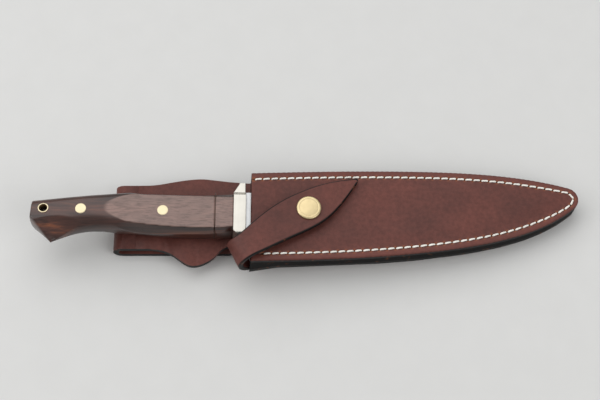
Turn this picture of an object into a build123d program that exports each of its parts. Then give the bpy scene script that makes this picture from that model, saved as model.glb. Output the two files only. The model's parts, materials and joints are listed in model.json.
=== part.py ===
"""Sheath knife in its leather sheath, with a belt loop and a snapped retaining strap.

Everything is modelled with the blade's middle plane on Z = 0 and the knife's length along X: the sheath's
mouth is at X = 0, its tip towards +X, the handle towards -X, and the line of the handle pins is Y = 0.
The finished pieces are then laid down as the real thing lies, on its belt loop and the tip of the sheath,
with the origin at the middle of the belt loop's resting face.
"""

import os
from math import atan, cos, degrees, radians, sin, tan

from build123d import *

# ---------------------------------------------------------------- driving sizes, in millimetres
sheath_length = 197.0
panel_leather = 3.2  # front and back panel
welt_layer = 3.0  # each of the two welt layers
strap_leather = 3.2
strap_gap = 0.05  # strap end to the mouth of the back panel
edge_bevel = 0.5

blade_thickness = 5.0
blade_tip_x = 186.0
blade_tip_y = 13.6
spine_y = 15.4
edge_y = -13.9
ricasso_end_x = 6.0
grind_start_x = 10.0
spine_flat = 5.0  # height of the unground band along the spine
clip_start_x = 125.0
belly_start_x = 70.0
belly_power = 2.2
edge_width = 0.3
tip_taper = 0.35  # share of the thickness left at the point

guard_gap = 2.9  # sheath mouth to guard
guard_depth = 7.5
guard_half_thickness = 9.0
lug_half_thickness = 5.0
lug_front_step = 0.4
lug_depth = 3.5
lug_rounding = 3.5
guard_high_shoulder_y = 14.6
guard_low_shoulder_y = -10.6
guard_top_y = 20.7
guard_bottom_y = -14.2

handle_half_thickness = 9.0
butt_half_thickness = 8.2
facet_end_x = -83.0  # the flats stop here and the rear of the handle thins
butt_x = -129.6
collar_length = 10.5
spacer_thickness = 0.5
handle_rounding = 6.4

tang_thickness = 4.6
tang_front_y = 8.0
tang_end_y = 5.0
tang_end_x = -106.5
slot_clearance = 0.1

pin_diameter = 6.35
front_pin_x = -51.8
rear_pin_x = -99.6
tube_x = -121.4
tube_bore = 4.8
butt_rounding = 2.0

seam_margin = 4.2  # sheath edge to stitch line
thread_width = 1.0
stitch_hole = 0.7  # where the thread goes through the leather
thread_depth = 0.5
thread_proud = 0.3
seam_start_x = 3.0
back_seam_inset = 2.5
cavity_clearance = 0.8

snap_x = 33.8
snap_y = 1.9
cap_diameter = 14.6
cap_height = 2.2
socket_diameter = 12.5
socket_height = 2.5
stud_base_diameter = 12.0
stud_base_height = 0.7
stud_nub_diameter = 6.4
stud_nub_height = 2.5
post_diameter = 3.8
post_flange = 0.7
post_flange_diameter = 8.0
snap_clearance = 0.2

strap_under_z = 9.6  # underside of the closed strap, over the guard and the snap
strap_turn = 27.0  # angle between the strap and the sheath's length
strap_bend_s = -7.3  # where the strap starts to curl, measured along its own length
strap_level_s = 40.0
strap_tip_s = 66.5
strap_tip_drop = 3.0
strap_tip_high = (61.2, 22.8)
strap_tip_low = (62.6, 20.2)
strap_tip_radius = 1.6

belt_gap = 4.9  # room for a belt between the loop's two layers
layer_gap = 0.25  # between leather layers that are only sewn together
mouth_clearance = 0.4  # guard and handle to the leather below them
neck_x = -1.0
neck_corner_x = -13.0
neck_low_y = -14.8
throat_x = 16.0  # the back panel leaves the blade's plane here, towards the handle
loop_level_x = -30.0
loop_reach = 81.5
loop_join = 8.0
loop_low_y = -16.6
loop_high_y = 24.6
tab_low_y = -9.0
tab_high_y = 17.0
tab_end_x = 44.0
tab_taper_x = -12.0
tab_seam_margin = 4.0
leather_bend = 12.0  # middle radius where the leather turns gently

# ---------------------------------------------------------------- values worked out from them
half_blade = blade_thickness / 2
front_z = welt_layer
front_top_z = front_z + panel_leather
back_z = -welt_layer
back_under_z = back_z - panel_leather
back_mid_z = back_z - panel_leather / 2
neck_mid_z = -(guard_half_thickness + mouth_clearance + panel_leather / 2)
layer_pitch = panel_leather + layer_gap

# The sheath lies nose down: the floor passes under its tip and under the belt loop.
loop_layers = panel_leather + belt_gap  # between the middles of the loop's two layers
loop_bottom_z = neck_mid_z - loop_layers - panel_leather / 2
floor_slope = (back_under_z - loop_bottom_z) / (sheath_length - loop_level_x)
lie_angle = atan(floor_slope)

guard_front_x = -guard_gap
guard_back_x = guard_front_x - guard_depth
lug_front_x = guard_front_x - lug_front_step
lug_back_x = lug_front_x - lug_depth
collar_back_x = guard_back_x - collar_length
block_front_x = collar_back_x - spacer_thickness
back_seam_start_x = throat_x + back_seam_inset

strap_mid_z = strap_under_z + strap_leather / 2
strap_direction = Vector(cos(radians(strap_turn)), sin(radians(strap_turn)), 0)
strap_plane = Plane(origin=(0, 0, 0), x_dir=strap_direction, z_dir=strap_direction.cross(Vector(0, 0, 1)))
wide = 200.0  # longer than any piece, for cuts right across


def floor_z(x):
    """Height of the floor at x, in the blade's frame."""
    return back_under_z - (sheath_length - x) * floor_slope



# ---------------------------------------------------------------- outlines
mouth_top = (0, 26.8)
mouth_bottom = (0, -29.3)
top_edge = [mouth_top, (48, 29.3), (100, 30.7), (150, 29.2)]
bottom_edge = [(160, -9.2), (123, -18.4), (76, -24.7), (30, -28.0), mouth_bottom]
tip_radius = 7.4
tip_center_y = 15.2
tip_start_angle = 75
tip_arc = -125


def spine_height(x):
    """Height of the blade's back: straight, then a slight clip down to the point."""
    if x < clip_start_x:
        return spine_y
    share = (x - clip_start_x) / (blade_tip_x - clip_start_x)
    return spine_y - (spine_y - blade_tip_y) * share**2


def edge_height(x):
    """Height of the cutting edge: straight, then the belly that sweeps up to the point."""
    if x < belly_start_x:
        return edge_y
    share = (x - belly_start_x) / (blade_tip_x - belly_start_x)
    return edge_y + (blade_tip_y - edge_y) * share**belly_power


def half_thickness(x):
    """Half the blade's thickness at the spine: even, then tapering to the point."""
    if x < belly_start_x:
        return half_blade
    share = (x - belly_start_x) / (blade_tip_x - belly_start_x)
    return half_blade * (1 - (1 - tip_taper) * share**2)


stations = 12
blade_stations = [belly_start_x + (blade_tip_x - 1.0 - belly_start_x) * i / stations for i in range(stations + 1)]

with BuildSketch() as sheath_face:
    with BuildLine():
        rim_tip = CenterArc((sheath_length - tip_radius, tip_center_y), tip_radius, tip_start_angle, tip_arc)
        rim_top = Spline(*top_edge, rim_tip @ 0, tangents=[(1, 0.06), rim_tip % 0])
        rim_low = Spline(rim_tip @ 1, *bottom_edge, tangents=[rim_tip % 1, (-1, -0.04)])
        Line(mouth_bottom, mouth_top)
    make_face()


def inset_points(distance):
    """Points at the given distance inside the rim, from the mouth round the tip and back."""
    places = [(rim_top, i / 12) for i in range(12)]
    places += [(rim_tip, i / 6) for i in range(6)]
    places += [(rim_low, i / 12) for i in range(13)]
    return [curve @ share + (curve % share).rotate(Axis.Z, -90) * distance for curve, share in places]


def seam_band(start_x):
    """A band as wide as the thread along the stitch line, from start_x round the tip and back."""
    with BuildSketch() as band:
        with BuildLine():
            outer = Spline(*inset_points(seam_margin - thread_width / 2))
            inner = Spline(*inset_points(seam_margin + thread_width / 2))
            Line(outer @ 0, inner @ 0)
            Line(outer @ 1, inner @ 1)
        make_face()
        with Locations((start_x - wide / 2, 0)):
            Rectangle(wide, wide, mode=Mode.SUBTRACT)
    return band.sketch


front_seam = seam_band(seam_start_x)
back_seam = seam_band(back_seam_start_x)
seam_holes = [
    (edge.center().X + thread_width / 2, edge.center().Y) for edge in back_seam.edges().filter_by(Axis.Y)
]

with BuildSketch() as cavity_face:
    with BuildLine():
        top_points = [(x, spine_height(x) + cavity_clearance) for x in blade_stations]
        low_points = [(x, edge_height(x) - cavity_clearance) for x in blade_stations]
        Polyline(
            (-1, spine_y + cavity_clearance),
            *top_points,
            (blade_tip_x + cavity_clearance, blade_tip_y),
            *reversed(low_points),
            (-1, edge_y - cavity_clearance),
            close=True,
        )
    make_face()

# ---------------------------------------------------------------- leather that folds, seen along Y
fold_radius = loop_layers * cos(lie_angle) / 2
fold_x = -loop_reach + panel_leather / 2 + fold_radius
join_x = fold_x + loop_join  # the loop's layers are modelled in two stretches that meet here
fold_top = Vector(fold_x, neck_mid_z - (loop_level_x - fold_x) * floor_slope)
join_top = Vector(join_x, neck_mid_z - (loop_level_x - join_x) * floor_slope)
fold_low = fold_top + Vector(sin(lie_angle), -cos(lie_angle)) * 2 * fold_radius

throat_angle = atan((back_mid_z - neck_mid_z) / (throat_x - neck_x))
tab_corner_x = throat_x + layer_pitch * tan(throat_angle / 2)
tab_corner_z = back_mid_z - layer_pitch
# the tab's climb, parallel to the throat, starts where it meets the layer that lies on the floor
climb_rise = tan(throat_angle) - floor_slope
climb_x = tab_corner_x - (tab_corner_z - floor_z(tab_corner_x) - panel_leather / 2) / climb_rise
climb_z = floor_z(climb_x) + panel_leather / 2

# the finished pieces lie with the middle of the loop's resting face at the origin
rest_x = (fold_low.X + climb_x) / 2
rest_y = (loop_low_y + loop_high_y) / 2
rest_pose = Location((0, 0, 0), (0, degrees(lie_angle), 0)) * Location((-rest_x, -rest_y, -floor_z(rest_x)))

os.makedirs("parts", exist_ok=True)


def write_piece(piece, name):
    """Lays a finished piece down, labels it and writes it."""
    placed = piece.moved(rest_pose)
    placed.label = name
    export_step(placed, f"parts/{name}.step")


with BuildSketch(Plane.XZ) as back_band:
    with BuildLine():
        FilletPolyline(
            (sheath_length + 5, back_mid_z),
            (throat_x, back_mid_z),
            (neck_x, neck_mid_z),
            (loop_level_x, neck_mid_z),
            join_top,
            radius=leather_bend,
        )
    trace(line_width=panel_leather)

with BuildSketch(Plane.XZ) as return_band:
    with BuildLine():
        Line(join_top, fold_top)
        TangentArc(fold_top, fold_low, tangent=(-cos(lie_angle), -sin(lie_angle)))
        FilletPolyline(
            fold_low,
            (climb_x, climb_z),
            (tab_corner_x, tab_corner_z),
            (tab_end_x, tab_corner_z),
            radius=leather_bend - layer_pitch,
        )
    trace(line_width=panel_leather)

with BuildSketch() as back_face:
    add(sheath_face.sketch)
    with BuildLine():
        Spline(
            mouth_top, (-16, 27.8), (-28, 28.9), (-46, 27.0), (-58, 24.9), (join_x, loop_high_y),
            tangents=[(-1, 0.05), (-1, 0)],
        )
        Line((join_x, loop_high_y), (join_x, loop_low_y))
        Spline(
            (join_x, loop_low_y), (-57, -16.8), (-46, -20.2), (-34, -27.4), (-20.5, -21.0), (neck_corner_x, neck_low_y),
            tangents=[(1, 0), (1, 0.4)],
        )
        Polyline((neck_corner_x, neck_low_y), (0, neck_low_y), mouth_top)
    make_face()

# ---------------------------------------------------------------- sheath: two panels and the welt between them
with BuildSketch() as seam_hole_face:
    with Locations(*seam_holes):
        Circle(stitch_hole / 2)

with BuildSketch() as welt_face:
    add(sheath_face.sketch)
    add(cavity_face.sketch, mode=Mode.SUBTRACT)
    add(seam_hole_face.sketch, mode=Mode.SUBTRACT)

with BuildPart() as front_panel:
    with BuildSketch(Plane.XY.offset(front_z)):
        add(sheath_face.sketch)
    extrude(amount=panel_leather)
    chamfer(front_panel.faces().sort_by(Axis.Z)[-1].edges(), edge_bevel)
    with BuildSketch(Plane.XY.offset(front_top_z - thread_depth)):
        add(front_seam)
    extrude(amount=panel_leather, mode=Mode.SUBTRACT)
    with Locations((snap_x, snap_y, front_z)):
        Cylinder(post_diameter / 2, wide, mode=Mode.SUBTRACT)
        Cylinder(post_flange_diameter / 2, 2 * post_flange, mode=Mode.SUBTRACT)
    with BuildSketch(Plane.XY.offset(front_z)):
        add(seam_hole_face.sketch)
    extrude(amount=panel_leather, mode=Mode.SUBTRACT)
write_piece(front_panel.part, "front_panel")

with BuildPart() as upper_welt:
    with BuildSketch():
        add(welt_face.sketch)
    extrude(amount=welt_layer)
write_piece(upper_welt.part, "upper_welt")

# The lower welt is a wedge at the mouth, where the back panel drops away behind the guard.
with BuildPart() as lower_welt:
    with BuildSketch(Plane.XZ):
        with BuildLine():
            Polyline(
                (0, 0),
                (sheath_length, 0),
                (sheath_length, back_mid_z),
                (throat_x, back_mid_z),
                (0, neck_mid_z),
                close=True,
            )
        make_face()
        add(back_band.sketch, mode=Mode.SUBTRACT)
    extrude(amount=wide, both=True)
    with BuildSketch():
        add(welt_face.sketch)
    extrude(amount=wide, both=True, mode=Mode.INTERSECT)
write_piece(lower_welt.part, "lower_welt")

# ---------------------------------------------------------------- back panel, one leather piece with the belt loop
with BuildPart() as return_layer:
    with BuildSketch(Plane.XZ):
        add(return_band.sketch)
    extrude(amount=wide, both=True)
    with BuildSketch():
        with BuildLine():
            Polyline(
                (-wide, loop_high_y),
                (tab_taper_x, loop_high_y),
                (throat_x, tab_high_y),
                (tab_end_x, tab_high_y),
                (tab_end_x, tab_low_y),
                (throat_x, tab_low_y),
                (tab_taper_x, loop_low_y),
                (-wide, loop_low_y),
                close=True,
            )
        make_face()
    extrude(amount=wide, both=True, mode=Mode.INTERSECT)

tab_under_z = tab_corner_z - panel_leather / 2
tab_center = ((throat_x + tab_end_x) / 2 + 2, (tab_low_y + tab_high_y) / 2)
tab_seam_size = (
    tab_end_x - throat_x - 2 * tab_seam_margin,
    tab_high_y - tab_low_y - 2 * tab_seam_margin,
)
with BuildSketch() as tab_seam:
    with Locations(tab_center):
        Rectangle(tab_seam_size[0] + thread_width, tab_seam_size[1] + thread_width)
        Rectangle(tab_seam_size[0] - thread_width, tab_seam_size[1] - thread_width, mode=Mode.SUBTRACT)


def punch_tab_holes():
    """Cuts the holes at the corners of the seam that closes the belt loop."""
    with Locations((*tab_center, 0)):
        with GridLocations(*tab_seam_size, 2, 2):
            Cylinder(stitch_hole / 2, wide, mode=Mode.SUBTRACT)


with BuildPart() as back_panel:
    with BuildSketch(Plane.XZ):
        add(back_band.sketch)
    extrude(amount=wide, both=True)
    with BuildSketch():
        add(back_face.sketch)
        add(seam_hole_face.sketch, mode=Mode.SUBTRACT)
    extrude(amount=wide, both=True, mode=Mode.INTERSECT)
    with BuildSketch(Plane.XY.offset(back_under_z)):
        add(back_seam)
    extrude(amount=thread_depth, mode=Mode.SUBTRACT)
    add(return_layer.part)
    with BuildSketch(Plane.XY.offset(tab_under_z)):
        add(tab_seam.sketch)
    extrude(amount=thread_depth, mode=Mode.SUBTRACT)
    punch_tab_holes()
write_piece(back_panel.part, "back_panel")

# ---------------------------------------------------------------- threads
with BuildPart() as seam_thread:
    with BuildSketch(Plane.XY.offset(front_top_z - thread_depth)):
        add(front_seam)
    extrude(amount=thread_depth + thread_proud)
    with BuildSketch(Plane.XY.offset(back_under_z)):
        add(back_seam)
    extrude(amount=thread_depth)
    with Locations(*[(x, y, back_under_z) for x, y in seam_holes]):
        Cylinder(
            stitch_hole / 2, front_top_z - back_under_z, align=(Align.CENTER, Align.CENTER, Align.MIN)
        )
write_piece(seam_thread.part, "seam_thread")

with BuildPart() as loop_thread:
    with BuildSketch(Plane.XY.offset(tab_under_z - thread_proud)):
        add(tab_seam.sketch)
    extrude(amount=thread_depth + thread_proud)
    with Locations((*tab_center, tab_under_z)):
        with GridLocations(*tab_seam_size, 2, 2):
            Cylinder(
                stitch_hole / 2, back_z - tab_under_z, align=(Align.CENTER, Align.CENTER, Align.MIN)
            )
write_piece(loop_thread.part, "loop_thread")

# ---------------------------------------------------------------- snap fastener
socket_top_z = strap_under_z
socket_under_z = socket_top_z - socket_height
cap_under_z = strap_under_z + strap_leather
with BuildPart() as snap_stud:
    with Locations((snap_x, snap_y, front_top_z)):
        Cylinder(
            stud_base_diameter / 2, stud_base_height, align=(Align.CENTER, Align.CENTER, Align.MIN)
        )
        Cylinder(
            stud_nub_diameter / 2,
            stud_base_height + stud_nub_height,
            align=(Align.CENTER, Align.CENTER, Align.MIN),
        )
    fillet(snap_stud.faces().sort_by(Axis.Z)[-1].edges(), 0.8)
write_piece(snap_stud.part, "snap_stud")

with BuildPart() as snap_post:
    with Locations((snap_x, snap_y, front_z)):
        Cylinder(post_flange_diameter / 2, post_flange, align=(Align.CENTER, Align.CENTER, Align.MIN))
        Cylinder(post_diameter / 2, panel_leather, align=(Align.CENTER, Align.CENTER, Align.MIN))
write_piece(snap_post.part, "snap_post")

with BuildPart() as snap_socket:
    with Locations((snap_x, snap_y, socket_under_z)):
        Cylinder(socket_diameter / 2, socket_height, align=(Align.CENTER, Align.CENTER, Align.MIN))
        Cylinder(
            stud_nub_diameter / 2 + snap_clearance,
            front_top_z + stud_base_height + stud_nub_height + snap_clearance - socket_under_z,
            align=(Align.CENTER, Align.CENTER, Align.MIN),
            mode=Mode.SUBTRACT,
        )
    fillet(snap_socket.faces().sort_by(Axis.Z)[0].edges().sort_by(SortBy.RADIUS)[-1], 0.4)
write_piece(snap_socket.part, "snap_socket")

with BuildPart() as snap_cap:
    with Locations((snap_x, snap_y, cap_under_z)):
        Cylinder(cap_diameter / 2, cap_height, align=(Align.CENTER, Align.CENTER, Align.MIN))
    fillet(snap_cap.faces().sort_by(Axis.Z)[-1].edges(), 1.2)
    with Locations((snap_x, snap_y, strap_under_z)):
        Cylinder(post_diameter / 2, strap_leather, align=(Align.CENTER, Align.CENTER, Align.MIN))
write_piece(snap_cap.part, "snap_cap")

# ---------------------------------------------------------------- retaining strap
with BuildSketch() as strap_face:
    with BuildLine():
        Spline((-9, -15.6), (-1.2, -9.6), (20, 7.8), (31.5, 13.9), (49.5, 20.5), strap_tip_high)
        RadiusArc(strap_tip_high, strap_tip_low, strap_tip_radius)
        Spline(strap_tip_low, (56.4, 10.2), (44.7, -4.0), (23.7, -16.7), (0.1, -28.7), (-9, -32.4))
        Polyline((-9, -32.4), (-27, -36), (-27, -16.5), (-9, -15.6))
    make_face()

with BuildPart() as strap_flap:
    with BuildSketch(strap_plane):
        with BuildLine():
            FilletPolyline(
                (strap_bend_s, strap_mid_z),
                (strap_level_s, strap_mid_z),
                (strap_tip_s + 5, strap_mid_z - strap_tip_drop),
                radius=leather_bend,
            )
        trace(line_width=strap_leather)
    extrude(amount=wide, both=True)
    with BuildSketch():
        add(strap_face.sketch)
    extrude(amount=wide, both=True, mode=Mode.INTERSECT)
    with Locations((snap_x, snap_y, 0)):
        Cylinder(post_diameter / 2, wide, mode=Mode.SUBTRACT)
write_piece(strap_flap.part, "strap_flap")

# The bend goes round behind the guard and ends against the mouth of the back panel, where it is sewn.
with BuildPart() as strap_bend:
    with BuildSketch(strap_plane):
        with BuildLine():
            CenterArc((strap_bend_s, 0), strap_mid_z, 90, 180)
            Line((strap_bend_s, -strap_mid_z), (strap_bend_s + strap_mid_z, -strap_mid_z))
        trace(line_width=strap_leather)
    extrude(amount=wide, both=True)
    with BuildSketch():
        add(strap_face.sketch)
    extrude(amount=wide, both=True, mode=Mode.INTERSECT)
    with BuildSketch():
        with Locations((wide / 2 - strap_gap, 0), (wide / 2 + neck_corner_x, wide / 2 + neck_low_y - strap_gap)):
            Rectangle(wide, wide)
    extrude(amount=-wide, mode=Mode.SUBTRACT)
write_piece(strap_bend.part, "strap_bend")

# ---------------------------------------------------------------- blade and tang
def blade_section(x):
    """The blade's cross section at x: an even back and two flats ground down to the edge."""
    half = half_thickness(x)
    ground = max(spine_height(x) - spine_flat, edge_height(x) + edge_width)
    if x <= ricasso_end_x:
        ground = edge_height(x) + edge_width
    edge = half if x <= ricasso_end_x else edge_width / 2
    plane = Plane(origin=(x, 0, 0), x_dir=(0, 1, 0), z_dir=(1, 0, 0))
    with BuildSketch(plane) as section:
        with BuildLine():
            Polyline(
                (spine_height(x), half),
                (ground, half),
                (edge_height(x), edge),
                (edge_height(x), -edge),
                (ground, -half),
                (spine_height(x), -half),
                close=True,
            )
        make_face()
    return section.sketch


with BuildPart() as blade:
    for x in [guard_front_x, ricasso_end_x, grind_start_x, *blade_stations]:
        add(blade_section(x))
    loft(ruled=True)
    with BuildSketch(Plane.XY.offset(-tang_thickness / 2)):
        with BuildLine():
            Polyline(
                (guard_front_x, tang_front_y),
                (tang_end_x, tang_end_y),
                (tang_end_x, -tang_end_y),
                (guard_front_x, -tang_front_y),
                close=True,
            )
        make_face()
    extrude(amount=tang_thickness)
    with Locations((front_pin_x, 0, 0), (rear_pin_x, 0, 0)):
        Cylinder(pin_diameter / 2, wide, mode=Mode.SUBTRACT)
write_piece(blade.part, "blade")

with BuildPart() as tang_slot:
    with BuildSketch(Plane.XY.offset(-tang_thickness / 2 - slot_clearance)):
        with BuildLine():
            Polyline(
                (guard_front_x + 1, tang_front_y + slot_clearance),
                (tang_end_x - slot_clearance, tang_end_y + slot_clearance),
                (tang_end_x - slot_clearance, -tang_end_y - slot_clearance),
                (guard_front_x + 1, -tang_front_y - slot_clearance),
                close=True,
            )
        make_face()
    extrude(amount=tang_thickness + 2 * slot_clearance)

# ---------------------------------------------------------------- guard
with BuildPart() as guard:
    with BuildSketch() as guard_face:
        with BuildLine():
            Polyline(
                (guard_back_x, guard_low_shoulder_y), (guard_back_x, guard_high_shoulder_y),
            )
            Spline(
                (guard_back_x, guard_high_shoulder_y),
                ((guard_back_x + lug_back_x) / 2, guard_high_shoulder_y + 1.6),
                (lug_back_x, guard_top_y - lug_rounding),
                tangents=[(1, 0.4), (0.1, 1)],
            )
            Polyline(
                (lug_back_x, guard_top_y - lug_rounding),
                (lug_back_x, guard_top_y),
                (lug_front_x, guard_top_y),
                (guard_front_x, guard_high_shoulder_y),
                (guard_front_x, guard_low_shoulder_y),
                (lug_front_x, guard_bottom_y),
                (lug_back_x, guard_bottom_y),
                (lug_back_x, guard_bottom_y + lug_rounding / 2),
                (guard_back_x, guard_low_shoulder_y),
            )
        make_face()
    extrude(amount=guard_half_thickness, both=True)
    with BuildSketch(Plane.YZ) as guard_front:
        with BuildLine():
            right = Spline(
                (guard_bottom_y, lug_half_thickness),
                (guard_low_shoulder_y, guard_half_thickness - 0.7),
                (0, guard_half_thickness),
                (guard_high_shoulder_y, guard_half_thickness - 0.9),
                (guard_top_y, lug_half_thickness),
                tangents=[(0.2, 1), (0.2, -1)],
            )
            Line(right @ 1, (guard_top_y, -lug_half_thickness))
            mirror(right, about=Plane.XZ)
            Line((guard_bottom_y, -lug_half_thickness), right @ 0)
        make_face()
    extrude(amount=wide, both=True, mode=Mode.INTERSECT)
    add(tang_slot.part, mode=Mode.SUBTRACT)
write_piece(guard.part, "guard")

# ---------------------------------------------------------------- handle
handle_top = [(guard_back_x, 15.0), (-21.1, 14.1), (-36, 13.1), (-65, 12.1), (-89, 11.0), (-106, 9.0)]
butt_top = (butt_x + 1.8, 6.2)
handle_low = [(guard_back_x, -10.4), (-21.1, -12.0), (-36, -12.6), (-60, -12.1), (-88, -9.9), (-104, -12.4)]
heel = (-116.6, -18.6)
butt_low = (butt_x + 0.2, -5.6)

# The whole grip's outer body: the flats run from the guard to the rear pin, behind which the grip thins.
with BuildPart() as handle_body:
    with BuildSketch():
        with BuildLine():
            Spline(*handle_top, butt_top)
            Spline(*handle_low, heel)
            Polyline(heel, butt_low, butt_top)
            Line(handle_low[0], handle_top[0])
        make_face()
        fillet([corner for corner in vertices() if corner.X < heel[0] + 1], radius=butt_rounding)
    extrude(amount=handle_half_thickness, both=True)
    flats = faces().sort_by(Axis.Z)
    rims = flats[0].edges() + flats[-1].edges()
    fillet([rim for rim in rims if rim.center().X < guard_back_x - slot_clearance], handle_rounding)
    with BuildSketch(Plane.XZ):
        with BuildLine():
            side = Spline(
                (guard_back_x, handle_half_thickness),
                (facet_end_x, handle_half_thickness),
                (butt_x, butt_half_thickness),
                tangents=[(-1, 0), (-1, -0.02)],
            )
            Line(side @ 1, (butt_x, -butt_half_thickness))
            mirror(side, about=Plane.XZ)
            Line((guard_back_x, -handle_half_thickness), side @ 0)
        make_face()
    extrude(amount=wide, both=True, mode=Mode.INTERSECT)

grip_pins = [(front_pin_x, 0, 0), (rear_pin_x, 0, 0), (tube_x, 0, 0)]


def grip_slice(front_x, back_x):
    """The grip's outer body between two planes across it."""
    with BuildPart() as piece:
        add(handle_body.part)
        with BuildSketch(Plane.YZ.offset(back_x)):
            Rectangle(wide, wide)
        extrude(amount=front_x - back_x, mode=Mode.INTERSECT)
    return piece.part


def grip_rod(x, bore=0.0):
    """A rod through the grip, ground flush with both its sides."""
    with BuildPart() as piece:
        add(handle_body.part)
        with Locations((x, 0, 0)):
            Cylinder(pin_diameter / 2, wide, mode=Mode.INTERSECT)
            if bore:
                Cylinder(bore / 2, wide, mode=Mode.SUBTRACT)
    return piece.part


with BuildPart() as handle_collar:
    add(grip_slice(guard_back_x, collar_back_x))
    add(tang_slot.part, mode=Mode.SUBTRACT)
write_piece(handle_collar.part, "handle_collar")

with BuildPart() as handle_spacer:
    add(grip_slice(collar_back_x, block_front_x))
    add(tang_slot.part, mode=Mode.SUBTRACT)
write_piece(handle_spacer.part, "handle_spacer")

with BuildPart() as handle_block:
    add(grip_slice(block_front_x, butt_x - 1))
    add(tang_slot.part, mode=Mode.SUBTRACT)
    with Locations(*grip_pins):
        Cylinder(pin_diameter / 2, wide, mode=Mode.SUBTRACT)
write_piece(handle_block.part, "handle_block")

write_piece(grip_rod(front_pin_x), "front_pin")
write_piece(grip_rod(rear_pin_x), "rear_pin")
write_piece(grip_rod(tube_x, tube_bore), "thong_tube")
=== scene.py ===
"""Sheath knife in its stitched leather sheath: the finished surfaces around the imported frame.

Shapes are worked out in millimetres in the knife's own frame, as the maker would draw them: X runs along the
sheath from its mouth to its tip, Y towards the blade's back, Z up from the blade's middle plane. lay() turns
them into metres in the frame, where the object lies nose down on its belt loop and the tip of the sheath.
"""

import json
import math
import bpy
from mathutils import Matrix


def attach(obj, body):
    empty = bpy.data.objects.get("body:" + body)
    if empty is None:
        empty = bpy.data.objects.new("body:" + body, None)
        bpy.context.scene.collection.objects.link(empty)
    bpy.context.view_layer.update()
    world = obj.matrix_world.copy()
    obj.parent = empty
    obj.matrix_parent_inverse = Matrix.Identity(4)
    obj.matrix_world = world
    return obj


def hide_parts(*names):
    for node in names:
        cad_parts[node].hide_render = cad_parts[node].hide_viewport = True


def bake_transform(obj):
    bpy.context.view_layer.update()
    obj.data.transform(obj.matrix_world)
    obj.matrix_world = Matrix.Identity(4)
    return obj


bl_info = {
    "name": "Sheath Knife",
    "version": (1, 0, 0),
    "blender": (4, 5, 0),
    "location": "View3D > Sidebar > Sheath Knife",
    "description": "Builds the leather, stitching, grip and fittings of a sheath knife around its frame",
    "category": "Add Mesh",
}

from contextlib import contextmanager
from functools import partial

import bmesh
import bpy
import numpy as np
from mathutils import Vector

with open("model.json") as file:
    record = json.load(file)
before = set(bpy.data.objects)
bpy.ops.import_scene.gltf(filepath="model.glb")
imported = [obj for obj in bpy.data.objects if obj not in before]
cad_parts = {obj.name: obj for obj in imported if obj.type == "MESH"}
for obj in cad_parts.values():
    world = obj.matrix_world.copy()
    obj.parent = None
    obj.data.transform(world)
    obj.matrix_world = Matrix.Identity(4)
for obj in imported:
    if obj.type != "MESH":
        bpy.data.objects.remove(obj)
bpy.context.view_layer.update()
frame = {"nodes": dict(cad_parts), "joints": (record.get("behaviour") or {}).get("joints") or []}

# ---------------------------------------------------------------- where the knife's own frame lies
JOINTS = {joint["name"]: joint for joint in frame["joints"]}
SLIDE_AXIS = JOINTS["knife_slide"]["axis"]
TILT_COS, TILT_SIN = -SLIDE_AXIS[0], SLIDE_AXIS[2]
STRAP_TURN = math.radians(27.0)  # between the strap and the sheath's length
BEND_S = -7.3  # where the strap leaves its curl, along its own length
HINGE = np.array(JOINTS["strap_hinge"]["pos_m"]) * 1000


def tilt(points):
    """Turns points about Y by the angle at which the object lies."""
    x, y, z = np.moveaxis(np.asarray(points, float), -1, 0)
    return np.stack([x * TILT_COS + z * TILT_SIN, y, -x * TILT_SIN + z * TILT_COS], -1)


ORIGIN = HINGE - tilt([BEND_S * math.cos(STRAP_TURN), BEND_S * math.sin(STRAP_TURN), 0])


def lay(points):
    """Millimetres in the knife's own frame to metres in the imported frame."""
    return (tilt(points) + ORIGIN) / 1000


def mm(value):
    """A length property, kept in metres, as millimetres."""
    return value * 1000


# ---------------------------------------------------------------- sizes and colours
def size(name, description, default):
    """A length that a user may set, in metres."""
    return bpy.props.FloatProperty(name=name, description=description, default=default, unit="LENGTH")


def swatch(name, description, default):
    """A colour that a user may set."""
    return bpy.props.FloatVectorProperty(
        name=name, description=description, default=default, size=3, subtype="COLOR"
    )


class SheathSettings(bpy.types.PropertyGroup):
    """Sizes of the leather and its stitching."""

    seam_margin: size("Seam margin", "Edge of the sheath to the stitch line", 0.0042)
    stitch_pitch: size("Stitch pitch", "Distance between stitch holes", 0.0049)
    thread_width: size("Thread width", "Width of the waxed thread", 0.00115)
    groove_depth: size("Groove depth", "Depth of the groove that the thread lies in", 0.00045)
    leather_color: swatch("Leather", "Dyed face of the leather", (0.112, 0.036, 0.028))
    edge_color: swatch("Edge", "Burnished edge of the leather", (0.0020, 0.0016, 0.0016))
    thread_color: swatch("Thread", "Waxed thread", (0.95, 0.92, 0.85))


class KnifeSettings(bpy.types.PropertyGroup):
    """Sizes and colours of the knife."""

    facet_half: size("Flat half thickness", "Blade plane to the grip's flats", 0.009)
    wood_color: swatch("Dark wood", "Ground colour of the grip", (0.036, 0.013, 0.009))
    streak_color: swatch("Wood streaks", "Lighter streaks in the grip", (0.20, 0.062, 0.024))
    brass_color: swatch("Brass", "Pins and thong tube", (0.66, 0.57, 0.38))
    cap_color: swatch("Snap", "Pale brass of the snap", (0.65, 0.53, 0.305))
    guard_color: swatch("Guard", "Nickel silver of the guard", (0.56, 0.54, 0.49))
    steel_color: swatch("Steel", "Satin blade steel", (0.47, 0.475, 0.48))


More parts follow.
